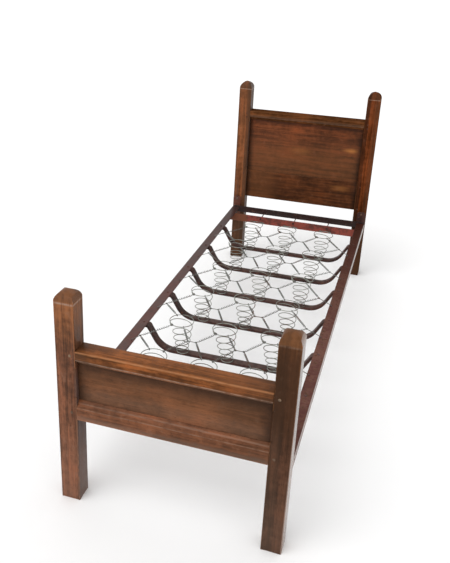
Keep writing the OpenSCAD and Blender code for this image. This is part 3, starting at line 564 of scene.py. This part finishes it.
footBottomRail = {
    "seed": 5, "rounding": 0.0012, "tint": (0.145, 0.053, 0.024),
    "figure": 0.6, "haze": 0.22, "edge": 0.005, "rubbed": 0.30, "sheen": 0.12,
    "visible": ((-railReach, foot["front"], foot["low"]),
                (railReach, foot["front"] + 0.045, foot["lowTop"])),
    "lines": [(zAxis, foot["lowFace"] + 0.012, 0.0030, 0.30),
              (zAxis, foot["lowFace"], 0.0022, 0.35)],
    "zones": [(xAxis, foot["inner"] - 0.050, beyond, 0.040, "darkTone", 0.35),
              (zAxis, -beyond, 0.315, 0.008, "haze", 0.38)],
}
oakPiece("foot_bottom_rail", xAxis, footBottomRail)

footPanel = {
    "seed": 3, "rounding": 0.0005, "tint": (0.168, 0.065, 0.029),
    "figure": 0.32, "patches": 0.8, "mottled": 0.5, "haze": 0.12, "rubbed": 0, "sheen": 0.08,
    "borderWidth": 0.050,
    "border": ((-foot["inner"], 0, foot["lowTop"] - 0.03), (foot["inner"], 0, foot["gapTop"])),
    # the first zone is painted shadow under the top rail
    "zones": [(zAxis, foot["gapTop"] - 0.050, beyond, 0.045, "umber", 0.5),
              (xAxis, 0.14, beyond, 0.060, "darkTone", 0.28),
              (zAxis, -beyond, 0.405, 0.020, "haze", 0.22)],
}
oakPiece("foot_panel", xAxis, footPanel)

headTopRail = {
    "seed": 6, "rounding": 0.0016, "tint": (0.105, 0.037, 0.013),
    "haze": 0.15, "edge": 0.005, "rubbed": 0.15, "sheen": 0.0, "topShade": 0.15,
    "visible": ((-railReach, head["front"], head["gapTop"]), (railReach, head["back"], head["railTop"])),
    # the pale line and the lighter band on the fascia are painted highlight, as if lit from above
    "lines": [(zAxis, head["fascia"], 0.003, 0.3)],
    "zones": [(zAxis, head["fascia"] - 0.002, head["fascia"] + 0.012, 0.004, "haze", 0.22)],
}
oakPiece("head_top_rail", xAxis, headTopRail)

headOpening = ((-head["inner"], 0, head["low"] - 0.03), (head["inner"], 0, head["gapTop"]))
headPanel = {
    "seed": 8, "rounding": 0.0005, "tint": (0.135, 0.038, 0.013),
    "figure": 0.80, "patches": 1.1, "mottled": 0.6, "haze": 0.10, "rubbed": 0, "sheen": 0.10,
    "border": headOpening,
    "zones": [(zAxis, -beyond, 0.64, 0.060, "olive", 0.45),
              (zAxis, 0.62, 0.72, 0.030, "darkTone", 0.20)],
    "highlightSpots": [(0.236, 0.650, 0.034, "spotHighlight", 0.75),
              (-0.02, 0.625, 0.050, "spotHighlight", 0.20)],
}
oakPiece("head_panel", xAxis, headPanel)

headBottomRail = {
    "seed": 10, "rounding": 0.0010, "tint": (0.075, 0.023, 0.007),
    "patches": 1.3, "haze": 0.08, "edge": 0.002, "rubbed": 0.2, "sheen": 0.10,
    "border": headOpening,
    "visible": ((-railReach, head["front"] + 0.02, head["low"]),
                (railReach, head["front"] + 0.044, head["lowTop"])),
    "zones": [(xAxis, -beyond, -0.14, 0.050, "amber", 0.20)],
    "highlightSpots": [(0.205, 0.452, 0.040, "spotHighlight", 0.30)],
}
oakPiece("head_bottom_rail", xAxis, headBottomRail)

pegRounding = 0.0006
pegTints = {"foot_pegs": (0.170, 0.110, 0.070), "head_pegs": (0.060, 0.018, 0.008)}
lowerPegs = (zAxis, -beyond, foot["lowTop"] + 0.050, 0.010, "umber", 0.75)
for name, tint in pegTints.items():
    low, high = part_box(name)
    pegOak = oakFinish(name + "_oak", yAxis, low, high, tint, seed=11, rubbed=0, zones=[lowerPegs])
    easedPiece(name, pegOak, pegRounding, shortest=0)
print("oak ready")


# The iron frame
railPaint = paintFinish("railPaint", "purple", "redBrown", seed=1, chips=0.64, dusty=0.12, sheen=0.15,
                        far=0.58)
# the right rail's outer face carries a painted reflection
rightRailPaint = paintFinish("rightRailPaint", "redBrown", "russet", seed=5, chips=0.57, dusty=0.12,
                             sheen=0.07, outerReflection=0.50, far=0.85, farKey="ember")
lathPaint = paintFinish("lathPaint", "dark", "brown", seed=2, chips=0.60, dusty=0.28)
barPaint = paintFinish("barPaint", "dark", "bare", seed=3, dusty=0.05)
oxidePaint = paintFinish("oxidePaint", "oxide", "oxideDark", seed=4, chips=0.64, shine=0.5, dusty=0.1,
                         brownEnd=-0.243)
fixingPaint = paintFinish("fixingPaint", "brown", "dark", seed=6, chips=0.60, dusty=0.1)
leftBracketPaint = paintFinish("leftBracketPaint", "warm", "brown", seed=8, dusty=0.05)
screwSteel = steelFinish("screwSteel", 3, 0.48, clean="dull", dull="dark")
wireSteel = steelFinish("wireSteel", 1, 0.57)
linkSteel = steelFinish("linkSteel", 5, 0.57, clean="worn", dull="dark")

ironRounding = {"bar": 0.0007, "bracket": 0.0005, "lath": 0.0006}
ironPieces = {
    "side_rail_left": (railPaint, "bar"), "side_rail_right": (rightRailPaint, "bar"),
    "foot_end_bar": (barPaint, "bar"), "head_end_bar": (barPaint, "bar"),
    "foot_cross_bar": (oxidePaint, "bar"), "head_cross_bar": (oxidePaint, "bar"),
    "bracket_foot_left": (fixingPaint, "bracket"), "bracket_foot_right": (fixingPaint, "bracket"),
    "bracket_head_left": (leftBracketPaint, "bracket"), "bracket_head_right": (fixingPaint, "bracket"),
}
ironPieces.update({"cross_lath_%d" % i: (lathPaint, "lath") for i in range(1, 7)})
for name, (material, kind) in ironPieces.items():
    easedPiece(name, material, ironRounding[kind])

smallIron = {
    "cross_bar_cleats": fixingPaint, "cross_bar_rivets": fixingPaint, "spring_clips": fixingPaint,
    "foot_tie_rods": fixingPaint, "head_tie_rods": fixingPaint, "lath_rivets": railPaint,
    "bracket_screws": screwSteel, "bracket_bolts": screwSteel, "end_bar_bolts": screwSteel,
}
for name, material in smallIron.items():       # shown as the CAD's own solids
    setMaterial(frame["nodes"][name], material)
print("iron ready")


# The spring deck
deck = {
    "columns": (-0.170, 0.0, 0.170),           # springs across the bed
    "firstRow": -0.6525, "rowPitch": 0.261, "rows": 6,
    "lathTop": 0.200, "ringTop": 0.322,        # the wire's centre at the end of its top ring
    "sink": 0.050,
}
spring = {
    "turns": 6.125, "wire": 0.0014, "ringRadius": 0.044, "ringRise": 0.005, "perTurn": 28,
    "seatGap": 0.0016, "seatStart": 168,
    # How wide the coil is and how far it has climbed, by its turns up from the seat
    "coil": ((0, 0.0200, 0), (0.55, 0.0238, 0), (1.3, 0.0215, 0.12), (2.3, 0.0275, 0.30),
             (3.3, 0.0325, 0.49), (4.3, 0.0345, 0.715), (5.125, 0.0440, 1)),
    "soften": 0.12,
    "lean": (-0.0045, 0.006), "skew": 0.018,
    "sway": 0.003, "swayAcross": (91, 37), "swayAlong": (53, 71),
}
knot = {"turns": 2.5, "radius": 0.0029, "pitch": 0.0030, "perTurn": 12, "start": 0.03}
link = {
    "wire": 0.0012, "coil": 0.0025, "pitch": 0.0080, "perTurn": 9, "tail": 0.006, "tailStop": 0.7,
    "eye": 0.0035, "eyeSteps": 12, "eyeTurn": 0.96,
    "bridge": 0.030, "bridgePast": 0.003, "bridgeWire": 0.0013, "sag": 0.004, "lean": 0.012,
}
loop = {"radius": 0.0026, "rise": 0.0012, "turns": 2, "perTurn": 10, "wire": 1.2 * link["wire"]}
tie = {
    "jointX": 0.268, "jointDrop": 0.004, "lean": -0.012, "holeX": 0.314, "railTop": 0.292,
    "hookWire": 0.0013, "hookLean": 0.013, "hookRise": 0.004, "hookLead": 0.003,
    "hookBend": (0.0006, 0.003), "hookDrop": 0.013,
}
endTie = {
    "barFace": 0.102, "holeZ": 0.2568, "angles": (60, 120), "clear": 0.008, "lap": 0.0015,
    "through": 0.026,
}


def share(low, high, value):
    return min(max((value - low) / (high - low), 0.0), 1.0)


def coilAt(turn, column):                      # straight between the coil's points
    points = spring["coil"]
    for before, after in zip(points, points[1:]):
        if turn <= after[0]:
            break
    return before[column] + (after[column] - before[column]) * share(before[0], after[0], turn)


def coilSoft(turn, column):                    # with its corners softened
    soften = spring["soften"]
    return sum(coilAt(turn + d, column) for d in (-soften, 0, soften)) / 3


ringTurn = spring["turns"] - 1
ringStart = spring["seatStart"] + 360 * ringTurn


# The mesh has drifted to the left at the foot and to the right at the head
def drift(y):
    return spring["lean"][0] + spring["skew"] * y


# The old springs stand a little askew, each in its own way
def leanOf(x, y):
    sway = spring["sway"]
    across, along = spring["swayAcross"], spring["swayAlong"]
    return Vector((drift(y) + sway * sin(across[0] * x + across[1] * y),
                   spring["lean"][1] + sway * cos(along[0] * x + along[1] * y), 0))


def springPoint(turn, x, y):
    angle = radians(spring["seatStart"]) + 2 * pi * turn
    seat = deck["lathTop"] + spring["seatGap"]
    radius = coilSoft(turn, 1)
    body = deck["ringTop"] - seat - spring["ringRise"]
    height = body * coilSoft(turn, 2) + spring["ringRise"] * share(0, 1, turn - ringTurn)
    lean = leanOf(x, y) * (height / (body + spring["ringRise"]))
    return Vector((x + radius * cos(angle), y + radius * sin(angle), seat + height)) + lean


# The wire's end drops onto the start of the top ring and winds round it
def knotPoints(x, y):
    points = []
    count = round(knot["turns"] * knot["perTurn"])
    for k in range(count + 1):
        turns = knot["turns"] * k / count
        along = knot["start"] + turns * knot["pitch"] / (2 * pi * spring["ringRadius"])
        centre = springPoint(ringTurn + along, x, y)
        lean = leanOf(x, y)
        out = Vector((centre.x - x - lean.x, centre.y - y - lean.y, 0)).normalized()
        a = 2 * pi * turns
        points.append(centre + (upward * cos(a) + out * sin(a)) * knot["radius"])
    return points


wireShape = {"sides": 2, "linkSides": 1, "smooth": 50}


# A round wire along each list of points, as one mesh
def wireMesh(name, runs, sides):
    curve = bpy.data.curves.new(name, "CURVE")
    curve.dimensions = "3D"
    curve.bevel_depth = 1.0                    # each point's radius is the wire's
    curve.bevel_resolution = sides
    curve.use_fill_caps = True
    for points, radius in runs:
        spline = curve.splines.new("POLY")
        spline.points.add(len(points) - 1)
        for at, point in zip(spline.points, points):
            at.co = (*point, 1)
            at.radius = radius
    holder = bpy.data.objects.new(name, curve)
    bpy.context.scene.collection.objects.link(holder)
    mesh = bpy.data.meshes.new_from_object(holder.evaluated_get(bpy.context.evaluated_depsgraph_get()))
    bpy.data.objects.remove(holder)
    mesh.shade_smooth()
    mesh.set_sharp_from_angle(angle=radians(wireShape["smooth"]))
    return mesh


def rowY(row):
    return deck["firstRow"] + row * deck["rowPitch"]


def middleOf(gap):                             # half way between two rows
    return rowY(gap) + deck["rowPitch"] / 2


for row in range(deck["rows"]):
    steps = int(spring["turns"] * spring["perTurn"])
    runs = []
    for x in deck["columns"]:
        coil = [springPoint(spring["turns"] * k / steps, x, rowY(row)) for k in range(steps + 1)]
        runs.append((coil + knotPoints(x, rowY(row)), spring["wire"]))
    name = "spring_row_%d" % (row + 1)
    coils = wireMesh(name + "_wire", runs, wireShape["sides"])
    piece = addPiece(name + "_piece", coils, wireSteel, name)
    high = deck["ringTop"] - deck["lathTop"] - spring["ringRise"] / 2
    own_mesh(piece)


# The top ring's point at an angle about its centre
def ringPoint(x, y, angle):
    return springPoint(ringTurn + ((angle - radians(ringStart)) / (2 * pi)) % 1.0, x, y)


# A helical link: straight tail, close coil, straight tail, then an eye round the ring's wire
def linkRun(start, x, y, angle=None):
    if angle is None:                          # the side that faces the joint
        lean = leanOf(x, y)
        angle = atan2(start.y - y - lean.y, start.x - x - lean.x)
    ring = ringPoint(x, y, angle)
    out = Vector((cos(angle), sin(angle), 0))
    entry = ring + out * link["eye"]
    ahead = (entry - start).normalized()
    side = ahead.cross(upward).normalized()
    over = side.cross(ahead)
    coiled = (entry - start).length - 2 * link["tail"]
    turns = round(coiled / link["pitch"])
    count = turns * link["perTurn"]
    points = [start, start + ahead * link["tail"] * link["tailStop"]]
    for k in range(count + 1):
        a = 2 * pi * turns * (k / count)
        ease = min(1.0, k / link["perTurn"], (count - k) / link["perTurn"])
        points.append(start + ahead * (link["tail"] + coiled * (k / count))
                      + (side * cos(a) + over * sin(a)) * link["coil"] * ease)
    for k in range(1, link["eyeSteps"] + 1):
        a = 2 * pi * k / link["eyeSteps"] * link["eyeTurn"]
        points.append(ring + (out * cos(a) - upward * sin(a)) * link["eye"])
    return points, link["wire"]


# The turns of wire that hold a joint together
def jointLoop(joint):
    angles = [2 * pi * k / loop["perTurn"] for k in range(loop["turns"] * loop["perTurn"] + 1)]
    return [joint + Vector((loop["radius"] * cos(a), loop["radius"] * sin(a),
                            loop["rise"] * (a / pi - loop["turns"]))) for a in angles], loop["wire"]


deckRuns = []
columnPitch = deck["columns"][1] - deck["columns"][0]
for gap in range(deck["rows"] - 1):
    middleY = middleOf(gap) + link["lean"]
    for x in deck["columns"][:2]:
        middle = Vector((x + columnPitch / 2 + drift(middleY), middleY, deck["ringTop"] - link["sag"]))
        reach = Vector((link["bridge"] / 2 + link["bridgePast"], 0, 0))
        deckRuns.append(([middle - reach, middle + reach], link["bridgeWire"]))
        for side in (-1, 1):
            joint = middle + Vector((side * link["bridge"] / 2, 0, 0))
            deckRuns.append(jointLoop(joint))
            column = x + (1 + side) / 2 * columnPitch
            deckRuns += [linkRun(joint, column, rowY(row)) for row in (gap, gap + 1)]
links = wireMesh("deck_wire", deckRuns, wireShape["linkSides"])
addPiece("deck_links_piece", links, linkSteel, "deck_links")

for side, node in ((-1, "side_ties_left"), (1, "side_ties_right")):
    runs = []
    for gap in range(deck["rows"] - 1):
        gapY = middleOf(gap)
        joint = Vector((side * tie["jointX"] + drift(gapY), gapY + tie["lean"],
                        deck["ringTop"] - tie["jointDrop"]))
        bend = Vector((side * tie["holeX"], gapY - tie["hookLean"], tie["railTop"] + tie["hookRise"]))
        out, down = tie["hookBend"]
        hook = [joint, bend - (bend - joint).normalized() * tie["hookLead"]]
        hook += [bend, bend + Vector((side * out, 0, -down)), bend - upward * tie["hookDrop"]]
        runs.append((hook, tie["hookWire"]))
        runs.append(jointLoop(joint))
        runs += [linkRun(joint, side * deck["columns"][2], rowY(row)) for row in (gap, gap + 1)]
    ties = wireMesh(node + "_wire", runs, wireShape["linkSides"])
    piece = addPiece(node + "_piece", ties, linkSteel, node, "none")
    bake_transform(piece)

for way, node, row, face in ((1, "head_ties", deck["rows"] - 1, head["front"] - endTie["barFace"]),
                             (-1, "foot_ties", 0, foot["back"] + endTie["barFace"])):
    runs = []
    for x in deck["columns"]:
        for angle in endTie["angles"]:
            holeX = x + spring["ringRadius"] * cos(radians(angle))
            turnAt = Vector((holeX, face - way * endTie["clear"], endTie["holeZ"]))
            runs.append(linkRun(turnAt, x, rowY(row), radians(way * angle)))
            runs.append(([turnAt - Vector((0, way * endTie["lap"], 0)),
                          turnAt + Vector((0, way * endTie["through"], 0))], tie["hookWire"]))
    ties = wireMesh(node + "_wire", runs, wireShape["linkSides"])
    piece = addPiece(node + "_piece", ties, linkSteel, node, "none")
    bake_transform(piece)
print("springs ready")


# The floor, the sky and one soft lamp
stage = {
    "floorSize": 400.0, "floorShade": 1.0, "floorRoughness": 0.9, "roomLight": 0.84, "seenLight": 1.0,
    "sunFrom": (-0.35, -0.55, 0.80), "sunPower": 1.05, "sunSoftness": 50,
}
white = colour(stage["floorShade"], stage["floorShade"], stage["floorShade"])
floorPaper = Finish("floor").done({"Base Color": white, "Roughness": stage["floorRoughness"],
                                   "Specular IOR Level": 0.0})
bpy.ops.mesh.primitive_plane_add(size=stage["floorSize"], location=(0, 0, 0))
floor = bpy.context.object
floor.name = "floor"
floor.data.materials.append(floorPaper)

world = bpy.data.worlds.new("sky")
bpy.context.scene.world = world
world.use_nodes = True
sky = Nodes(world.node_tree)
seen = sky.add("ShaderNodeLightPath", out="Is Camera Ray")
rays = seen.socket.node.outputs
for name in ("Is Glossy Ray", "Is Transmission Ray"):
    seen = seen.most(Value(sky, rays[name]))
strength = sky.add("ShaderNodeMapRange", sockets={0: seen, 3: stage["roomLight"], 4: stage["seenLight"]})
background = sky.add("ShaderNodeBackground", sockets={0: (1, 1, 1, 1), 1: strength})
sky.add("ShaderNodeOutputWorld", sockets={0: background})

lamp = bpy.data.lights.new("sun", "SUN")
lamp.energy = stage["sunPower"]
lamp.angle = radians(stage["sunSoftness"])
sun = bpy.data.objects.new("sun", lamp)
sun.rotation_euler = Vector(stage["sunFrom"]).to_track_quat("Z", "Y").to_euler()
bpy.context.scene.collection.objects.link(sun)

bpy.context.scene.view_settings.view_transform = "Standard"
print("stage ready")
